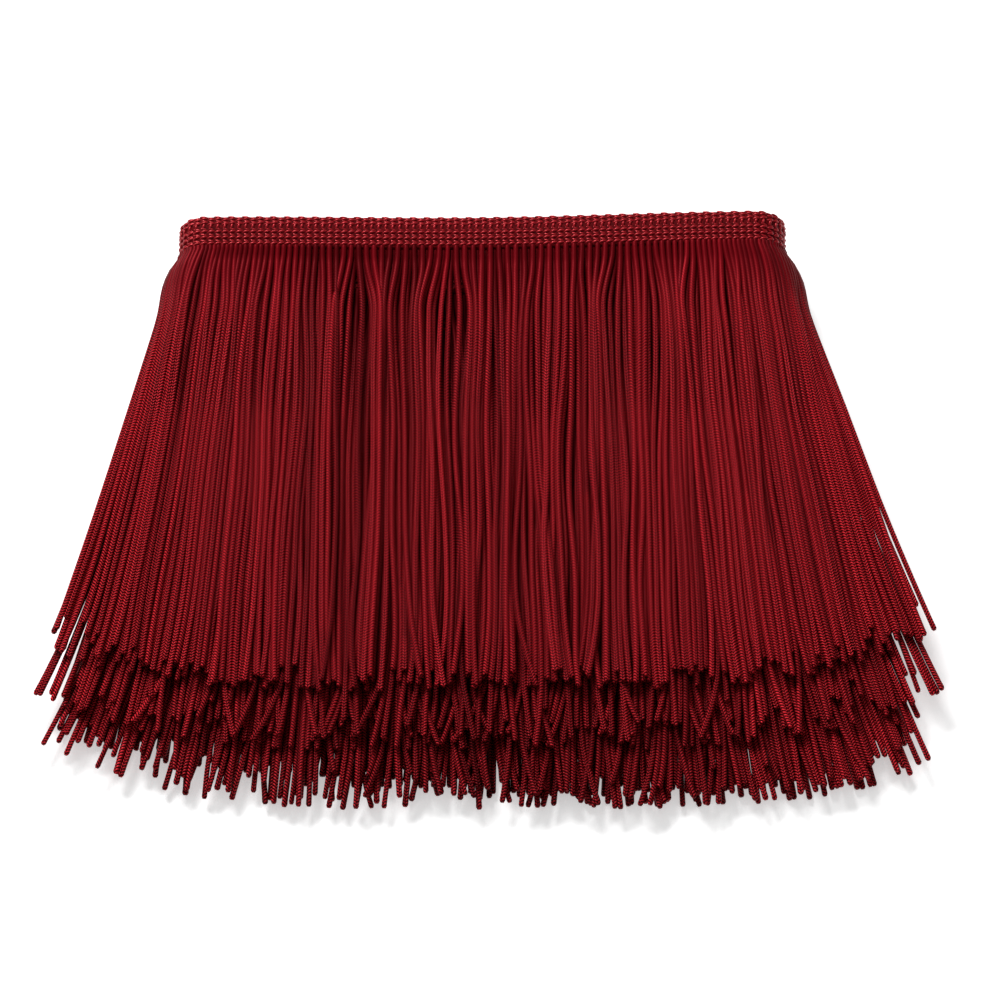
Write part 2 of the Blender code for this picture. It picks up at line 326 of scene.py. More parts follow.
# %% Where the strands are before they settle
STATION_STEP = 0.0027       # from one slice to the next
FIRST_SLICE = -0.0125
LAST_SLICE = -0.186
PAST_THE_TIP = 0.004        # a strand is followed this far past its cut
WAVES = 16                  # the waves that add up to a drift
ROW_APART = 0.00062         # strands leave the heading in two rows, this far out and in
ROW_FADES = 0.30            # and stay in them nearly to the hem
CROWDED = 0.44              # how much closer the strands are at a layer's ends, on the bends
random_yarn = np.random.default_rng(7)

slice_y = np.arange(FIRST_SLICE, LAST_SLICE, -STATION_STEP)


def wander(xs, ys, width, depth):
    """Smooth seeded drift over the fringe, about 1 at most: neighbours drift together."""
    drift = np.zeros(np.broadcast(xs, ys).shape)
    for _ in range(WAVES):
        waves_across = random_yarn.normal() / width
        waves_along = random_yarn.normal() / depth
        turn = random_yarn.uniform(0, 2 * math.pi)
        drift += np.sin(2 * math.pi * (waves_across * xs + waves_along * ys) + turn)
    return drift / math.sqrt(WAVES)


class Strands:
    """The strands of one layer, as curves over the slices."""

    def __init__(self, layer):
        count = layer.strands
        self.layer = layer
        even = (np.arange(count) + 0.5) / count
        self.share = even - CROWDED * np.sin(2 * math.pi * even) / (2 * math.pi)
        self.aside = np.abs(layer.across(self.share))   # 0 in the middle and 1 at the sides
        self.root = layer.root(self.share)
        self.root[1] += STRIP_LOW
        self.tip = layer.tip(self.share)
        self.row = np.where(np.arange(count) % 2 == 0, 1.0, -1.0)
        self.x, self.z = layer.centres(self.share, slice_y)
        self.down = self.root[1] - slice_y[:, None]
        out = self.row * ROW_APART * (1 - smooth(self.down / ROW_FADES))
        self.x = self.x + out * np.cos(self.root[3])
        self.z = self.z + out * np.sin(self.root[3])
        self.there = (self.down > 0) & (slice_y[:, None] > self.tip[1] - PAST_THE_TIP)


strands = [Strands(layer) for layer in LAYERS]
print("slices:", len(slice_y))

# %% [markdown]
# Each strand is given its own drift before it settles: a lean under the heading, a slow wander
# that grows down the strand, and a curl near its cut end. The curl is stronger in the second
# and third tiers, pushed about by the ones above, and a few stray ends curl much further. The
# outermost strands stay calm, so that the sides of the fan keep their line.

# %% The drift of each strand
LEAN = 0.0018               # the sideways lean just under the heading, shared by neighbours
LEAN_DONE = 0.020           # how far down it is complete
LEAN_WIDE, LEAN_LONG = 0.012, 0.30
OWN_LEAN = 0.00030          # of one strand alone
OWN_LEAN_DONE = 0.010
DRIFT = 0.0011              # the slow drift further down, shared by neighbours
DRIFT_DONE = 0.060
DRIFT_WIDE, DRIFT_LONG = 0.011, 0.15
OWN_DRIFT = 0.0004          # of one strand alone
OWN_WAVE = 0.085            # how long its waves are, on average
RATE_VARIES = 0.35
CURL_LONG = 0.028           # a strand curls over this length above its cut
CURL_MOST = 1.1
CURL = {5: 0.0013, 4: 0.0034, 3: 0.0032, 2: 0.0010, 1: 0.0008}    # by layer, 5 on top
LAYER_CALM = {5: 1, 4: 1, 3: 0.7, 2: 0.15, 1: 0.15}
SIDES_CALM = 0.85           # the outermost strands drift and curl this much less
CALM_POWER = 3
STRAY_SHARE = {5: 0.008, 4: 0.05, 3: 0.06, 2: 0.01, 1: 0.01}
STRAY_CURL = 0.0075


def own_wave(count):
    """A slow wave of its own for each strand, about 1 at most."""
    turn = random_yarn.uniform(0, 2 * math.pi, count)
    rate = random_yarn.normal(1, RATE_VARIES, count) / OWN_WAVE
    return np.sin(2 * math.pi * slice_y[:, None] * rate + turn)


for each in strands:
    number = each.layer.number
    count = each.layer.strands
    home = each.tip[0]
    calm = 1 - SIDES_CALM * each.aside ** CALM_POWER
    lean = LEAN * smooth(each.down / LEAN_DONE)
    lean = lean * wander(home, slice_y[:, None], LEAN_WIDE, LEAN_LONG)
    lean += OWN_LEAN * random_yarn.normal(size=count) * smooth(each.down / OWN_LEAN_DONE)
    drift = DRIFT * wander(home, slice_y[:, None], DRIFT_WIDE, DRIFT_LONG)
    drift = smooth(each.down / DRIFT_DONE) * (drift + OWN_DRIFT * own_wave(count))
    curl = random_yarn.normal(0, CURL[number], count)
    stray = random_yarn.random(count) < STRAY_SHARE[number]
    curl = calm * np.where(stray, random_yarn.normal(0, STRAY_CURL, count), curl)
    to_tip = slice_y[:, None] - each.tip[1]
    curled = np.clip(1 - to_tip / CURL_LONG, 0, CURL_MOST) ** 2
    each.goal_x = each.x + LAYER_CALM[number] * calm * (lean + drift) + curl * curled
print("drift set for", len(strands), "layers")

# %% [markdown]
# No strand passes through the tape of another run. Each has a lowest and a highest place in
# each slice, over the lower tapes and the table and under the higher tapes.

# %% Tapes and table in the way
TABLE_GAP = 0.00084         # no strand's centre is lower
TAPE_CLEAR = 0.0019         # a strand's centre stays this far from the middle of a tape
FREE_ABOVE = 1.0            # where nothing lies over a strand


def limits(each):
    """The lowest and the highest place of each strand of a layer, in each slice."""
    low = np.full(each.goal_x.shape, TABLE_GAP)
    high = np.full(each.goal_x.shape, FREE_ABOVE)
    on_run = np.abs(each.goal_x) < RIGHT_BEND
    for other in LAYERS:
        slip = other.root(0.5)[1, 0]
        inside = (slice_y < slip + STATION_STEP) & (slice_y > slip + STRIP_LOW - STATION_STEP)
        at_tape = inside[:, None] & on_run
        tape = layer_height(other.number, each.goal_x)
        if other.number < each.layer.number:
            low = np.where(at_tape, np.maximum(low, tape + TAPE_CLEAR), low)
        elif other.number > each.layer.number:
            high = np.where(at_tape, np.minimum(high, tape - TAPE_CLEAR), high)
    return low, np.maximum(high, TABLE_GAP)


for each in strands:
    each.low, each.high = limits(each)
print("limits set for", len(strands), "layers")

# %% [markdown]
# The light doesn't reach down into a pile of yarn, and what lies between the cords is nearly
# black. The renderer shades the gaps, but it knows nothing of the loose fibres that fill them.
# So each strand also carries how deep it lies under others, and its colour is painted darker there, as
# painted shade.

# %% How deep each strand lies
COVER_NEIGHBOURS = 24
COVER_REACH = 0.0022        # a strand this near and higher keeps the light off
COVER_DEEP = 0.0022         # a strand this far under it is dark


def cover(x, z):
    """How deep each strand lies in the pile, 0 on top and 1 where others close over it."""
    slices = np.arange(x.shape[0])[:, None]
    order = np.argsort(x, axis=1)
    sorted_x, sorted_z = x[slices, order], z[slices, order]
    rise = np.zeros_like(x)
    for k in range(1, COVER_NEIGHBOURS + 1):
        near = sorted_x[:, k:] - sorted_x[:, :-k] < COVER_REACH
        higher = (sorted_z[:, k:] - sorted_z[:, :-k]) * near
        rise[:, :-k] = np.maximum(rise[:, :-k], higher)
        rise[:, k:] = np.maximum(rise[:, k:], -higher)
    covered = np.empty_like(rise)
    covered[slices, order] = np.clip(rise / COVER_DEEP, 0, 1)
    return covered


alone = cover(strands[0].x, strands[0].z)
print(f"the bottom layer alone is {alone.mean():.2f} covered")

# %% [markdown]
# In each round every strand is pushed away from its neighbours in the slice, pulled back
# towards its own route and smoothed along its length. Where it has ended it waits far away.

# %% The settling
DISC = 0.00162              # the distance that two strands keep between their centres
NEIGHBOURS = 12             # how many on each side are looked at
ROUNDS = 420
PUSH = 0.42                 # the share of an overlap that each of two strands gives way
STIFF = 0.5                 # how far a strand straightens in a round
STIFF_OVER = 2.6            # over about this many slices each way
WEIGHT = 0.000012           # how far a strand sinks in a round
FIRM_HOLD, LOOSE_HOLD = 0.85, 0.012    # the pull to its route, at the heading and further down
HOLD_FROM, HOLD_FADES = 0.004, 0.032
SIDES_HOLD = 0.50           # the outermost strands keep to their fan this firmly
SIDES_POWER = 12
AWAY, AWAY_STEP = 10, 0.1   # where ended strands wait, and how far apart
TINY = 1e-9


def joined(name):
    """One value of all the layers' strands, side by side."""
    return np.concatenate([getattr(each, name) for each in strands], axis=-1)


def settle():
    """Lets all the strands settle together. It leaves their x and z in each."""
    goal_x, goal_z, there = joined("goal_x"), joined("z"), joined("there")
    low, high = joined("low"), joined("high")
    hold = mix(FIRM_HOLD, LOOSE_HOLD, smooth((joined("down") - HOLD_FROM) / HOLD_FADES))
    hold = np.maximum(hold, SIDES_HOLD * joined("aside") ** SIDES_POWER)
    x, z = goal_x.copy(), goal_z.copy()
    away = AWAY + np.arange(x.shape[1]) * AWAY_STEP
    x = np.where(there, x, away)
    slices = np.arange(x.shape[0])[:, None]
    spread = np.exp(-0.5 * ((slices - slices.T) / STIFF_OVER) ** 2)
    reached = spread @ there + TINY
    for _ in range(ROUNDS):
        order = np.argsort(x, axis=1)
        sorted_x, sorted_z = x[slices, order], z[slices, order]
        push_x, push_z = np.zeros_like(x), np.zeros_like(z)
        for k in range(1, NEIGHBOURS + 1):
            dx = sorted_x[:, k:] - sorted_x[:, :-k]
            dz = sorted_z[:, k:] - sorted_z[:, :-k]
            apart = np.sqrt(dx * dx + dz * dz) + TINY
            push = PUSH * np.maximum(DISC - apart, 0) / apart
            dx *= push
            dz *= push
            push_x[:, k:] += dx
            push_x[:, :-k] -= dx
            push_z[:, k:] += dz
            push_z[:, :-k] -= dz
        x[slices, order] += push_x
        z[slices, order] += push_z
        z -= WEIGHT
        off_x = (x - goal_x) * (1 - hold)
        off_z = (z - goal_z) * (1 - hold)
        for off in (off_x, off_z):
            off += STIFF * (spread @ (off * there) / reached - off)
        x = np.where(there, goal_x + off_x, away)
        z = np.clip(goal_z + off_z, low, high)
    covered = cover(x, z)
    first = 0
    for each in strands:
        last = first + each.layer.strands
        each.x, each.z = x[:, first:last], z[:, first:last]
        each.covered = covered[:, first:last]
        first = last


settle()
HALF_WAY_Y = -0.09
TO_MM = 1000
middle = np.argmin(np.abs(slice_y - HALF_WAY_Y))
for each in strands:
    heights = each.z[middle][each.there[middle]]
    print(f"{each.layer.name}: {TO_MM * heights.mean():.1f} mm high half way down")

# %% [markdown]
# A strand is a polyline from the heading to its cut: its root, the slices that it passes, and
# an end where its own length runs out. Equal lengths, cut a little unevenly, give the ragged
# hem, and a strand that wanders more ends a little shorter, as it does on the real trim.

# %% The path of a strand
ROOT_INSIDE = 0.0012        # a strand starts this far inside the heading
FIRST_ROWS = 6              # so many points at its start are always kept
TIP_ROUNDS = 0.0006         # the cut end is rounded over this length


def lengths_along(points):
    steps = np.linalg.norm(np.diff(points[:, :3], axis=0), axis=1)
    return np.concatenate([[0], np.cumsum(steps)])


def path_of(each, i, x, z, every):
    """Strand i from inside the heading through its slices: points and how covered each is."""
    inside = each.there[:, i] & (each.down[:, i] > STATION_STEP / 2)
    rows = np.nonzero(inside)[0]
    if every > 1:
        rows = np.concatenate([rows[:FIRST_ROWS], rows[FIRST_ROWS::every]])
    root, angle = each.root[:3, i].copy(), each.root[3, i]
    root += each.row[i] * ROW_APART * np.array([math.cos(angle), 0, math.sin(angle)])
    root[2] = max(root[2], TABLE_GAP)
    line = np.column_stack([x[rows, i], slice_y[rows], z[rows, i], each.covered[rows, i]])
    start = root + (0, ROOT_INSIDE, 0)
    ends = [[*start, line[0, 3]], [*root, line[0, 3]]]
    return np.vstack([ends, line])


def cut_to(points, length):
    """The points up to a length along them, with an end point there and one just before it."""
    along = lengths_along(points)
    if length >= along[-1]:
        last = points[-1] - points[-2]
        kept = points
        end = points[-1] + last / np.linalg.norm(last[:3]) * (length - along[-1])
    else:
        kept = points[along < length]
        end = np.array([np.interp(length, along, points[:, axis]) for axis in range(4)])
    if np.linalg.norm((end - kept[-1])[:3]) < STATION_STEP / 2:
        kept = kept[:-1]
    last = end - kept[-1]
    return np.vstack([kept, end - last / np.linalg.norm(last[:3]) * TIP_ROUNDS, end])


top = strands[-1]
path = path_of(top, 0, top.x, top.z, 1)
print("first strand on top:", lengths_along(path)[-1], "m")

# %% [markdown]
# Each line carries four values at each point: how thick the cord is, how far it is turned, how
# light its dye is, with painted shade on the lower layers added in, and how deep it lies. A cord
# is a little fuller just below the heading, but not in the lowest layer, which lies on the table.

# %% The strands as lines
TIP_RAGGED = {5: 0.0019, 4: 0.0032, 3: 0.0030, 2: 0.0020, 1: 0.0020}    # how unevenly cut
SIDES_RAGGED = 0.0042       # the same at the sides
RAGGED_POWER = 4
LONGER_MOST, SHORTER_MOST = 0.0030, 0.0100      # no cut is further out or in
ROOT_THIN = 0.90            # a strand's share of its full radius inside the heading
ROOT_SWELLS = 0.004         # it has its full radius this far along
ROOT_FULL = 0.13            # and is this much fuller just below
FULL_AT, FULL_WIDE = 2, 4   # where, and over which length squared, counted in ROOT_SWELLS
RADIUS_VARIES = 0.04
TIP_SWELLS = 0.05           # the cut end opens a little
TIP_NARROWS = 0.66          # and is rounded off
TURN_MOST = 0.9
LAYER_PAINTED_SHADE = {5: 0.0, 4: -1.8, 3: -2.8, 2: -3.0, 1: -3.0}    # painted shade: the lower layers are painted darker
SIDES_LESS_SHADED = 1.0          # but less so towards the sides
LAYER_SHADE_FROM, LAYER_SHADE_LONG = 0.070, 0.050     # and only in the lower half of a strand


def mesh_of_lines(name, lines):
    """A mesh of open lines, each given as its points on the route."""
    points, edges = [], []
    for line in lines:
        first = len(points)
        points.extend(line + ROUTE_ORIGIN)
        edges.extend((first + k, first + k + 1) for k in range(len(line) - 1))
    mesh = bpy.data.meshes.new(name + "_lines")
    mesh.from_pydata([tuple(point) for point in points], edges, [])
    return mesh


def strand_lines(each, every):
    """A mesh of the strands' lines, with the four values at each point."""
    lines, thick, turn, tone_and_shade, covered = [], [], [], [], []
    uneven = TIP_RAGGED[each.layer.number]
    # Painted shade: the lower layers' cords are painted darker in their lower half, less so at the
    # sides
    lower_layer_shade = LAYER_PAINTED_SHADE[each.layer.number] * (1 - SIDES_LESS_SHADED * each.aside ** 2)
    for i in range(each.layer.strands):
        straight = path_of(each, i, *each.layer.centres(each.share, slice_y), every)
        length = np.interp(-each.tip[1][i], -straight[:, 1], lengths_along(straight))
        ragged = random_yarn.normal(0, mix(uneven, SIDES_RAGGED, each.aside[i] ** RAGGED_POWER))
        length += min(LONGER_MOST, max(-SHORTER_MOST, ragged))
        line = cut_to(path_of(each, i, each.x, each.z, every), length)
        along = lengths_along(line)
        radius = mix(ROOT_THIN, 1, smooth(along / ROOT_SWELLS))
        if each.layer.number > 1:
            radius *= 1 + ROOT_FULL * np.exp(-(along / ROOT_SWELLS - FULL_AT) ** 2 / FULL_WIDE)
        radius *= 1 + RADIUS_VARIES * random_yarn.normal()
        radius[-2:] *= 1 + TIP_SWELLS, TIP_NARROWS
        lines.append(line[:, :3])
        covered.extend(line[:, 3])
        thick.extend(radius)
        turn.extend([random_yarn.uniform(-TURN_MOST, TURN_MOST)] * len(line))
        tone_and_shade.extend(random_yarn.normal() + lower_layer_shade[i] * smooth((along - LAYER_SHADE_FROM) / LAYER_SHADE_LONG))
    mesh = mesh_of_lines(each.layer.name, lines)
    all_values = {"thick": thick, "turn": turn, "tone_and_shade": tone_and_shade, "covered": covered}
    for name, values in all_values.items():
        mesh.attributes.new(name, "FLOAT", "POINT").data.foreach_set("value", values)
    return mesh


print("cuts vary by", SIDES_RAGGED, "m at the sides")

# %% [markdown]
# Small classes keep the node trees short. A Wire is a socket that can be added, multiplied and
# so on, which adds the maths nodes behind the scenes. Nodes adds any other node from its type,
# its inputs and its settings, and Finish does so for a material.

# %% Node helpers
class Wire:
    """A node's output, with arithmetic."""

    def __init__(self, nodes, socket):
        self.nodes = nodes
        self.socket = socket

    def __add__(self, other):
        return self.nodes.maths("ADD", self, other)

    def __rsub__(self, other):
        return self.nodes.maths("SUBTRACT", other, self)

    def __mul__(self, other):
        return self.nodes.maths("MULTIPLY", self, other)

    def __truediv__(self, other):
        return self.nodes.maths("DIVIDE", self, other)

    def __abs__(self):
        return self.nodes.maths("ABSOLUTE", self)

    __radd__ = __add__
    __rmul__ = __mul__

    def sine(self):
        return self.nodes.maths("SINE", self)

    def ramp(self, low, high, start=0.0, end=1.0):
        """From start to end as this goes from low to high, smoothly, and no further."""
        values = {"Value": self, "From Min": low, "From Max": high, "To Min": start, "To Max": end}
        return self.nodes.add("ShaderNodeMapRange", values, interpolation_type="SMOOTHSTEP")


class Nodes:
    """Adds nodes to one tree."""

    def __init__(self, tree):
        self.tree = tree

    def add(self, kind, inputs=None, output=None, **settings):
        node = self.tree.nodes.new(kind)
        for name, value in settings.items():
            setattr(node, name, value)
        for name, value in (inputs or {}).items():
            self.feed(self.socket_of(node.inputs, name), value)
        return Wire(self, self.socket_of(node.outputs, output or 0))

    def maths(self, operation, *values):
        return self.add("ShaderNodeMath", dict(enumerate(values)), operation=operation)

    def socket_of(self, sockets, name):
        if isinstance(name, int):
            return [socket for socket in sockets if socket.enabled][name]
        return next(socket for socket in sockets if socket.enabled and socket.name == name)

    def feed(self, socket, value):
        if isinstance(value, Wire):
            self.tree.links.new(value.socket, socket)
        else:
            socket.default_value = value

    def blend(self, factor, first, second, kind="MIX"):
        """A colour between two colours, or their product."""
        values = {"Factor": factor, "A": first, "B": second}
        return self.add("ShaderNodeMix", values, data_type="RGBA", blend_type=kind)

    def attribute(self, name):
        return self.add("ShaderNodeAttribute", output="Fac", attribute_name=name)


class Finish(Nodes):
    """A material with a Principled shader."""

    def __init__(self, name):
        self.material = bpy.data.materials.new(name)
        self.material.use_nodes = True
        super().__init__(self.material.node_tree)

    def surface(self, values):
        """Feeds the shader, by the names of its inputs, and gives the material."""
        shader = self.tree.nodes["Principled BSDF"]
        for name, value in values.items():
            self.feed(shader.inputs[name], value)
        return self.material


print("node helpers:", Wire.__name__, Nodes.__name__, Finish.__name__)

# %% [markdown]
# The strands are chainette: a narrow knitted cord of shiny rayon, whose stitches show as a
# line of small V shapes. At this size they could be modelled, but a thousand cords of them
# would be far too heavy. They are painted instead by two attributes that the cords carry, how
# far along and how far across the cord a point is: stripes that lean one way on one half and
# the other way on the other half make the Vs, as a bump and as painted light and shade, light
# tops and near-black grooves. Near the heading the cord is pulled straight, so its Vs fade out,
# and it is painted darker there, as shade under the heading. Two more values give each cord its
# own lightness of dye, with painted shade on the lower layers, and painted shade where it lies deep.

# %% The strands' finish
CORD_STITCH = 0.00088       # from one V to the next along a cord
V_LEAN = 1.0
CORD_RED = (0.53, 0.0185, 0.0275, 1)
# Painted light and shade: stitch tops take a light red, and the grooves between them and down the
# middle of the cord are painted near black
CORD_GROOVE_SHADE = (0.030, 0.0008, 0.0014, 1)
# Painted shade: the smooth cord near the heading is painted darker, as shade under the heading
CORD_SMOOTH_SHADED_RED = (0.120, 0.0018, 0.0044, 1)
TONE_VARIES = 0.15
PAINTED_SHADE_DEEP = 0.36         # painted shade: how much darker a strand is painted where others close over it
SMOOTH_TO, STITCHED_FROM = 0.004, 0.036
MIDDLE_LINE = 0.14          # the groove between the two legs of the Vs, painted dark as shade
MIDDLE_HIGH = 0.35          # how much of its height the cord keeps there
SILK_EDGE = (1, 0.35, 0.40, 1)     # the colour of its shine at a slant
CORD_ROUGHNESS = 0.38
CORD_SHINE = 0.06           # how strongly its surface mirrors white light
CORD_SILK = 0.25            # the share of the light that the dyed yarn mirrors in its own colour
CORD_BUMP = 0.00022
GROOVE_SHADE_FROM, GROOVE_SHADE_TO = 0.30, 0.70     # the depths between which the painted groove shade sets in


def strand_finish():
    nodes = Finish("chainette_red")
    along, across, tone_and_shade, covered = map(nodes.attribute, ("along", "across", "tone_and_shade", "covered"))
    stitched = along.ramp(SMOOTH_TO, STITCHED_FROM)
    stripe = (2 * math.pi * (along / CORD_STITCH + V_LEAN * abs(across))).sine()
    ridge = (stripe * 0.5 + 0.5) * abs(across).ramp(0, MIDDLE_LINE, MIDDLE_HIGH)
    depth = 1 - ridge
    stitched_red_and_groove_shade = nodes.blend(depth.ramp(GROOVE_SHADE_FROM, GROOVE_SHADE_TO), CORD_RED, CORD_GROOVE_SHADE)
    red = nodes.blend(stitched, CORD_SMOOTH_SHADED_RED, stitched_red_and_groove_shade)
    # Each cord's own lightness of dye, with the painted shade of the lower layers, times painted shade
    # where other cords lie over it
    light = (1 + TONE_VARIES * tone_and_shade) * (1 - PAINTED_SHADE_DEEP * covered)
    shade = nodes.add("ShaderNodeCombineColor", {"Red": light, "Green": light, "Blue": light})
    bump = nodes.add("ShaderNodeBump",
                     {"Strength": 1.0, "Distance": CORD_BUMP, "Height": stitched * ridge})
    return nodes.surface({
        "Base Color": nodes.blend(1.0, red, shade, "MULTIPLY"), "Normal": bump,
        "Roughness": CORD_ROUGHNESS, "Metallic": CORD_SILK,
        "Specular IOR Level": CORD_SHINE, "Specular Tint": SILK_EDGE})


chainette = strand_finish()
print("finish:", chainette.name)

# %% [markdown]
# Geometry Nodes make the cords and the stitches. A tree is used as a modifier on a mesh of
# lines, its named inputs are set there, and the outcome is kept as a plain mesh.

# %% A geometry tree
def new_object(name, data):
    """An object in the scene."""
    obj = bpy.data.objects.new(name, data)
    bpy.context.scene.collection.objects.link(obj)
    return obj


class GeometryTree(Nodes):
    """A Geometry Nodes tree with named inputs, used as a modifier."""

    def __init__(self, name):
        super().__init__(bpy.data.node_groups.new(name, "GeometryNodeTree"))
        self.tree.is_modifier = True
        for way in ("INPUT", "OUTPUT"):
            self.tree.interface.new_socket("Geometry", in_out=way, socket_type="NodeSocketGeometry")
        self.group_input = self.tree.nodes.new("NodeGroupInput")
        self.start = Wire(self, self.group_input.outputs[0])
        self.identifiers = {}

    def named_input(self, name, kind="NodeSocketFloat"):
        made = self.tree.interface.new_socket(name, in_out="INPUT", socket_type=kind)
        self.identifiers[name] = made.identifier
        return Wire(self, self.group_input.outputs[name])

    def stored(self, geometry, name, value):
        inputs = {"Geometry": geometry, "Name": name, "Value": value}
        return self.add("GeometryNodeStoreNamedAttribute", inputs, data_type="FLOAT")

    def read(self, name, data_type="FLOAT"):
        return self.add("GeometryNodeInputNamedAttribute", {"Name": name}, data_type=data_type)

    def ends_with(self, geometry, material):
        """Shades smooth, realises the instances, sets the material and closes the tree."""
        shaded = self.add("GeometryNodeSetShadeSmooth", {"Geometry": geometry})
        real = self.add("GeometryNodeRealizeInstances", {"Geometry": shaded})
        painted = self.add("GeometryNodeSetMaterial", {"Geometry": real, "Material": material})
        output = self.tree.nodes.new("NodeGroupOutput")
        self.tree.links.new(painted.socket, output.inputs[0])

    def applied_to(self, mesh, name, **values):
        """A new piece: the mesh run through this tree with these inputs, as a plain mesh."""
        obj = new_object(name, mesh)
        modifier = obj.modifiers.new("made", "NODES")
        modifier.node_group = self.tree
        for word, value in values.items():
            modifier[self.identifiers[word]] = value
        graph = bpy.context.evaluated_depsgraph_get()
        plain = bpy.data.meshes.new_from_object(
            obj.evaluated_get(graph), preserve_all_data_layers=True, depsgraph=graph)
        obj.modifiers.clear()
        obj.data = plain
        plain.name = name
        bpy.data.meshes.remove(mesh)
        return obj


def triangles(piece):
    piece.data.calc_loop_triangles()
    return len(piece.data.loop_triangles)


print("tree helper:", GeometryTree.__name__)

# %% [markdown]
# Mesh to Curve joins the edges of a line, the radius and the turn come from the line's own
# values, and Curve to Mesh draws a circle along it. The place on the circle and the length
# along the curve are stored for the finish. Hidden cords need fewer sides and points.

# %% From lines to cords
CORD_RADIUS = 0.00081
CORD_SIDES = {5: 8, 4: 6, 3: 6, 2: 5, 1: 5}
EVERY = {5: 1, 4: 1, 3: 1, 2: 2, 1: 2}      # a point in each slice, or in every second one


def cord_tree():
    tree = GeometryTree("cords")
    radius = tree.named_input("radius")
    sides = tree.named_input("sides", "NodeSocketInt")
    curve = tree.add("GeometryNodeMeshToCurve", {"Mesh": tree.start})
    thick = radius * tree.read("thick")
    curve = tree.add("GeometryNodeSetCurveRadius", {"Curve": curve, "Radius": thick})
    curve = tree.add("GeometryNodeSetCurveTilt", {"Curve": curve, "Tilt": tree.read("turn")})
    along = tree.add("GeometryNodeSplineParameter", output="Length")
    curve = tree.stored(curve, "along", along)
    circle = tree.add("GeometryNodeCurvePrimitiveCircle", {"Resolution": sides, "Radius": 1.0})
    place = tree.add("GeometryNodeInputPosition")
    across = tree.add("ShaderNodeSeparateXYZ", {"Vector": place}, output="X")
    circle = tree.stored(circle, "across", across)
    cords = tree.add("GeometryNodeCurveToMesh", {
        "Curve": curve, "Profile Curve": circle, "Scale": tree.read("radius"), "Fill Caps": True})
    tree.ends_with(cords, chainette)
    return tree


cords = cord_tree()
fringe = []
for each in strands:
    number = each.layer.number
    lines = strand_lines(each, EVERY[number])
    piece = cords.applied_to(
        lines, each.layer.name + "_cords", radius=CORD_RADIUS, sides=CORD_SIDES[number])
    print(f"{piece.name}: {each.layer.strands} cords, {triangles(piece)} triangles")
    fringe.append(piece)

# %% [markdown]
# The heading is knitted lengthways, five chains side by side, and the two at its upper edge
# make a small scalloped border, with a ladder of short bars under it. Behind lies a plain
# ground. It is a flat sheet, so its section is drawn once and swept along the route, as the
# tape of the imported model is.

# %% The ground of the heading
GROUND_THICK = 0.0013
GROUND_TOP, GROUND_LOW = -0.0003, -0.0107
GROUND_STEP = 0.0022
EDGE_POINTS = 5


def tape_frame(distance):
    """The tape's frame at a distance along it: X along the tape, Y back and Z outwards."""
    x, y, z, angle = stations(distance)[:, 0]
    along = Vector((-math.sin(angle), 0, math.cos(angle)))
    outwards = Vector((math.cos(angle), 0, math.sin(angle)))
    placed = Matrix((along, Vector((0, 1, 0)), outwards)).transposed().to_4x4()
    placed.translation = Vector((x, y, z)) + Vector(ROUTE_ORIGIN)
    return placed


def ground_section():
    """A thin closed outline, rounded at its edges, of (y, z) points."""
    half = GROUND_THICK / 2
    turns = np.linspace(0, math.pi, EDGE_POINTS)
    edge = [(math.sin(turn) * half, math.cos(turn) * half) for turn in turns]
    upper = [(GROUND_TOP - half + y, z) for y, z in edge]
    lower = [(GROUND_LOW + half - y, -z) for y, z in edge]
    return upper + lower


def sweep(bm, outline, frames):
    """Draws an outline of (y, z) points, given in the tape's frame, through the frames."""
    corners = [bm.verts.new(frames[0] @ Vector((0, y, z))) for y, z in outline]
    face = bm.faces.new(corners)
    for before, after in zip(frames, frames[1:]):
        made = bmesh.ops.extrude_face_region(bm, geom=[face, *face.edges])["geom"]
        face = next(item for item in made if isinstance(item, bmesh.types.BMFace))
        bmesh.ops.transform(bm, matrix=after @ before.inverted(), verts=face.verts)


def mesh_of(bm, name, material):
    """A mesh with the bmesh's shape, which it frees."""
    mesh = bpy.data.meshes.new(name)
    bm.to_mesh(mesh)
    bm.free()
    mesh.materials.append(material)
    return mesh


def make_ground(material):
    steps = round(TAPE_LONG / GROUND_STEP)
    bm = bmesh.new()
    sweep(bm, ground_section(), [tape_frame(TAPE_LONG * i / steps) for i in range(steps + 1)])
    bmesh.ops.recalc_face_normals(bm, faces=bm.faces)
    mesh = mesh_of(bm, "heading_ground", material)
    mesh.shade_smooth()
    return new_object("heading_ground", mesh)


print("the ground's outline has", len(ground_section()), "points")

# %% [markdown]
# The heading's yarn is the same red. A fine noise stands for its fibres, as flecks of a deeper
# red and a slight bump. The ground between the stitches is matt, and painted much darker, as
# shade in the hollows between them.

# %% The heading's finish
STITCH_RED = (0.37, 0.011, 0.018, 1)
STITCH_DEEP = (0.23, 0.005, 0.009, 1)
# Painted shade: the ground is painted much darker than the stitches, as shade in the hollows between
# them
GROUND_SHADED_RED = (0.045, 0.0010, 0.0018, 1)
GROUND_SHADED_LIGHTER = (0.110, 0.0020, 0.0035, 1)


def yarn_finish(name, scale, detail, flecks, colours, strength, height, surface):
    """A finish with a noise between two colours and a bump."""
    nodes = Finish(name)
    place = nodes.add("ShaderNodeTexCoord", output="Object")
    fibre = nodes.add("ShaderNodeTexNoise", {"Vector": place, "Scale": scale, "Detail": detail})
    red = nodes.blend(fibre.ramp(*flecks), *colours)
    bump = nodes.add("ShaderNodeBump", {"Strength": strength, "Distance": height, "Height": fibre})
    return nodes.surface({"Base Color": red, "Normal": bump, **surface})


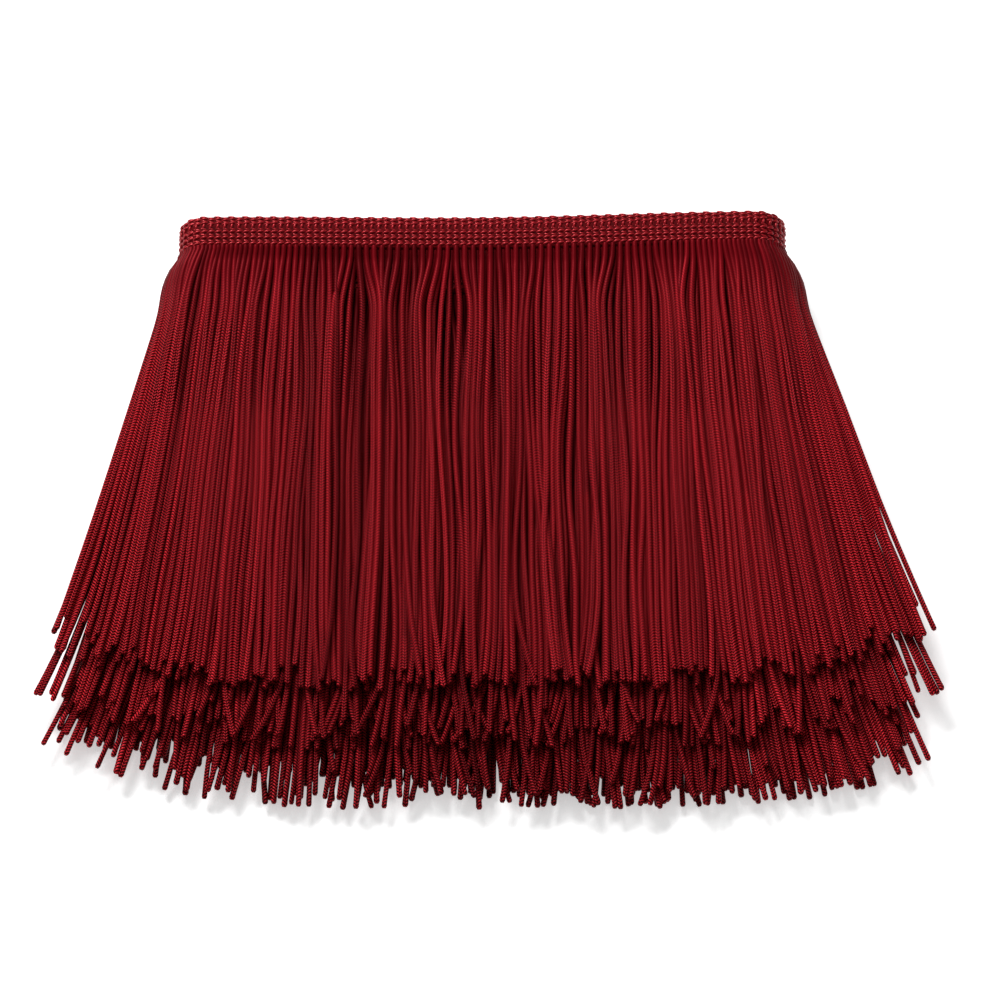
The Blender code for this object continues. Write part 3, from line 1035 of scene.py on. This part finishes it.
heading_red = yarn_finish(
    "heading_red", scale=3500, detail=2.0, flecks=(0.35, 0.65), colours=(STITCH_DEEP, STITCH_RED),
    strength=0.5, height=0.00004,
    surface={"Roughness": 0.32, "Metallic": CORD_SILK, "Specular IOR Level": 0.15})
ground = make_ground(yarn_finish(
    "heading_ground_red", scale=1750, detail=3.0, flecks=(0.3, 0.7), colours=(GROUND_SHADED_RED, GROUND_SHADED_LIGHTER),
    strength=0.6, height=0.0001,
    surface={"Roughness": 0.6, "Specular IOR Level": 0.02}))
print("ground faces:", len(ground.data.polygons))

# %% [markdown]
# One chain stitch is a V that lies on its side: two short legs of yarn that start together
# under the stitch before it and part towards the next one. A bar of the ladder is a single leg
# across. The legs are drawn once, as bent tubes, and set two millimetres apart along each row.
# Each row's line carries the direction out of the tape, so that the stitches turn with it
# round the bends.

# %% The stitches of the heading
STITCH_LONG = 0.0020
LINE_POINTS = 4             # of a row's line, for each stitch
LEG_RADIUS = 0.00043
LEG_SIDES = 5
LEG_STEPS = 5
LEG_LIFT = 0.00060
LEG_THIN, LEG_SWELLS = 0.72, 0.28   # its radius at the ends, and how much it grows between


def row_lines(places, name):
    """Lines along the tape at these places below its top edge, with its directions."""
    steps = round(TAPE_LONG / STITCH_LONG) * LINE_POINTS
    distances = np.linspace(0, TAPE_LONG, steps + 1)
    x, y, z, angle = stations(distances)
    mesh = mesh_of_lines(name, [np.column_stack([x, y + place, z]) for place in places])
    out = [np.column_stack([np.cos(angle), 0 * angle, np.sin(angle)])] * len(places)
    mesh.attributes.new("out", "FLOAT_VECTOR", "POINT").data.foreach_set("vector", np.ravel(out))
    return mesh


# Each leg as three points, in stitch lengths along, stitch heights across and lifts outwards.
CHAIN_LEGS = [
    [(-0.66, 0.05, 0.0), (-0.05, 0.22, 2.2), (0.56, 0.44, 0.1)],
    [(-0.66, -0.05, 0.0), (-0.05, -0.22, 1.2), (0.56, -0.44, 0.1)],
]
BAR_LEGS = [[(-0.14, -0.50, 0.3), (0.10, 0.0, 1.9), (0.10, 0.50, 0.3)]]


def leg(tree, places, long, high, lift, radius):
    """One leg of a stitch, a bent tube that is thinner at its ends."""
    def point(place):
        x, y, z = place
        return tree.add("ShaderNodeCombineXYZ", {"X": x * long, "Y": y * high, "Z": z * lift})

    start, middle, end = [point(place) for place in places]
    curve = tree.add("GeometryNodeCurveQuadraticBezier", {
        "Resolution": LEG_STEPS, "Start": start, "Middle": middle, "End": end})
    factor = tree.add("GeometryNodeSplineParameter", output="Factor")
    swell = LEG_THIN + LEG_SWELLS * (factor * math.pi).sine()
    circle = tree.add("GeometryNodeCurvePrimitiveCircle", {"Resolution": LEG_SIDES, "Radius": radius})
    return tree.add("GeometryNodeCurveToMesh", {
        "Curve": curve, "Profile Curve": circle, "Scale": swell, "Fill Caps": True})


def stitch_tree(name, legs, material):
    tree = GeometryTree(name)
    long, high, lift, radius, scallop = [
        tree.named_input(name) for name in ("long", "high", "lift", "radius", "scallop")]
    both = tree.tree.nodes.new("GeometryNodeJoinGeometry")
    for places in legs:
        tree.tree.links.new(leg(tree, places, long, high, lift, radius).socket, both.inputs[0])
    stitch = Wire(tree, both.outputs[0])
    curve = tree.add("GeometryNodeMeshToCurve", {"Mesh": tree.start})
    points = tree.add("GeometryNodeResampleCurve", {"Curve": curve, "Length": long}, mode="LENGTH")
    index = tree.add("GeometryNodeInputIndex")
    even = tree.maths("PINGPONG", index, 1.0)
    shift = tree.add("ShaderNodeCombineXYZ", {"Y": scallop * even})
    points = tree.add("GeometryNodeSetPosition", {"Geometry": points, "Offset": shift})
    turned = tree.add("FunctionNodeAxesToRotation", {
        "Primary Axis": tree.read("out", "FLOAT_VECTOR"),
        "Secondary Axis": tree.add("GeometryNodeInputTangent")})
    stitches = tree.add("GeometryNodeInstanceOnPoints", {
        "Points": points, "Instance": stitch, "Rotation": turned})
    tree.ends_with(stitches, material)
    return tree


stitches = stitch_tree("chain_stitches", CHAIN_LEGS, heading_red)
ladder = stitch_tree("ladder_stitches", BAR_LEGS, heading_red)
print("stitch trees:", stitches.tree.name, ladder.tree.name)

# %% [markdown]
# Three chains make the body of the heading. The two of the border are narrower, and every
# second stitch is shifted a little, which gives the scallops. The ladder bridges the gap.

# %% The rows of the heading
ROW_PLACES = (-0.0049, -0.0068, -0.0088)
ROW_HIGH = 0.0018
EDGE_PLACES = (-0.0012, -0.0025)
EDGE_HIGH = 0.0013
SCALLOP = 0.00036
BAR_PLACES = (-0.0036,)
BAR_HIGH = 0.0022


def rows_piece(tree, name, places, high, scallop=0.0):
    """A piece of stitches, in rows at these places."""
    piece = tree.applied_to(
        row_lines(places, name), name,
        long=STITCH_LONG, high=high, lift=LEG_LIFT, radius=LEG_RADIUS, scallop=scallop)
    print(f"{piece.name}: {triangles(piece)} triangles")
    return piece


chains = rows_piece(stitches, "heading_chains", ROW_PLACES, ROW_HIGH)
border = rows_piece(stitches, "heading_border", EDGE_PLACES, EDGE_HIGH, SCALLOP)
bars = rows_piece(ladder, "heading_bars", BAR_PLACES, BAR_HIGH)

# %% [markdown]
# Every piece now stands for its part of the imported model, which is hidden, and hangs from the
# root body. The heading's ground is the sheet, 11 mm wide and as long as the route, and the
# chains and the strands are the pieces on it.

for piece in (ground, chains, border, bars):
    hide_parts("heading_tape")
    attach(piece, "root")
for piece, each in zip(fringe, strands):
    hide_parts(each.layer.name)
    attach(piece, "root")

# %% [markdown]
# The trim lies on a pale table in even studio light: a large soft lamp above and behind it,
# so that the cords shine along their tops and their shadow falls below the hem, and a bright
# surround that keeps the table white.

# %% Table, light and camera
KEY_AT = Vector((-0.50, 1.18, 0.90))
KEY_WIDE, KEY_DEEP = 0.8, 0.4
KEY_POWER = 32
SURROUND = 0.34
WHITE = (1, 1, 1, 1)
TABLE_WHITE = (0.92, 0.92, 0.92, 1)
TABLE_ROUGHNESS = 0.9
TABLE_SHINE = 0.1
TABLE_GLOW = 0.45
TABLE_REACH = 4             # from its middle to its edge
CAMERA_AT = Vector((0.00292, 0.00210, 0.006))    # what the camera looks at
CAMERA_RISE = math.radians(62)
CAMERA_FAR = 1.6
CAMERA_LENS, CAMERA_SENSOR = 205.4, 36


def make_table():
    white = Finish("table_white").surface({
        "Base Color": TABLE_WHITE, "Roughness": TABLE_ROUGHNESS, "Specular IOR Level": TABLE_SHINE,
        "Emission Color": WHITE, "Emission Strength": TABLE_GLOW})
    bm = bmesh.new()
    bmesh.ops.create_grid(bm, x_segments=1, y_segments=1, size=TABLE_REACH)
    table = new_object("table", mesh_of(bm, "table", white))
    table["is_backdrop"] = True


def aim(obj, place, direction):
    """Puts a lamp or the camera at a place, turned towards a direction."""
    obj.location = place
    obj.rotation_mode = "QUATERNION"
    obj.rotation_quaternion = direction.to_track_quat("-Z", "Y")


def make_lamp():
    lamp = bpy.data.lights.new("key", "AREA")
    lamp.shape = "RECTANGLE"
    lamp.size = KEY_WIDE
    lamp.size_y = KEY_DEEP
    lamp.energy = KEY_POWER
    aim(new_object("key", lamp), KEY_AT, CAMERA_AT - KEY_AT)


def make_surround():
    world = bpy.data.worlds.new("studio")
    world.use_nodes = True
    background = world.node_tree.nodes["Background"]
    background.inputs["Color"].default_value = WHITE
    background.inputs["Strength"].default_value = SURROUND
    bpy.context.scene.world = world


def make_camera():
    camera = bpy.data.cameras.new("camera")
    camera.lens = CAMERA_LENS
    camera.sensor_width = CAMERA_SENSOR
    back = Vector((0, -math.cos(CAMERA_RISE), math.sin(CAMERA_RISE)))
    obj = new_object("camera", camera)
    aim(obj, CAMERA_AT + back * CAMERA_FAR, -back)
    bpy.context.scene.camera = obj


make_table()
make_lamp()
make_surround()
make_camera()
bpy.context.scene.view_settings.view_transform = "Standard"
print("camera and light ready")

# %% [markdown]
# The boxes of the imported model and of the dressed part, side by side, show how far the strands
# reach past their locks.

# %% Sizes, and the end
visual_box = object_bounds()
sizes = {"cad": [list(corner) for corner in cad_box], "visual": [list(corner) for corner in visual_box]}
for name, (low, high) in sizes.items():
    print(name, [round(TO_MM * (b - a), 1) for a, b in zip(low, high)], "mm")
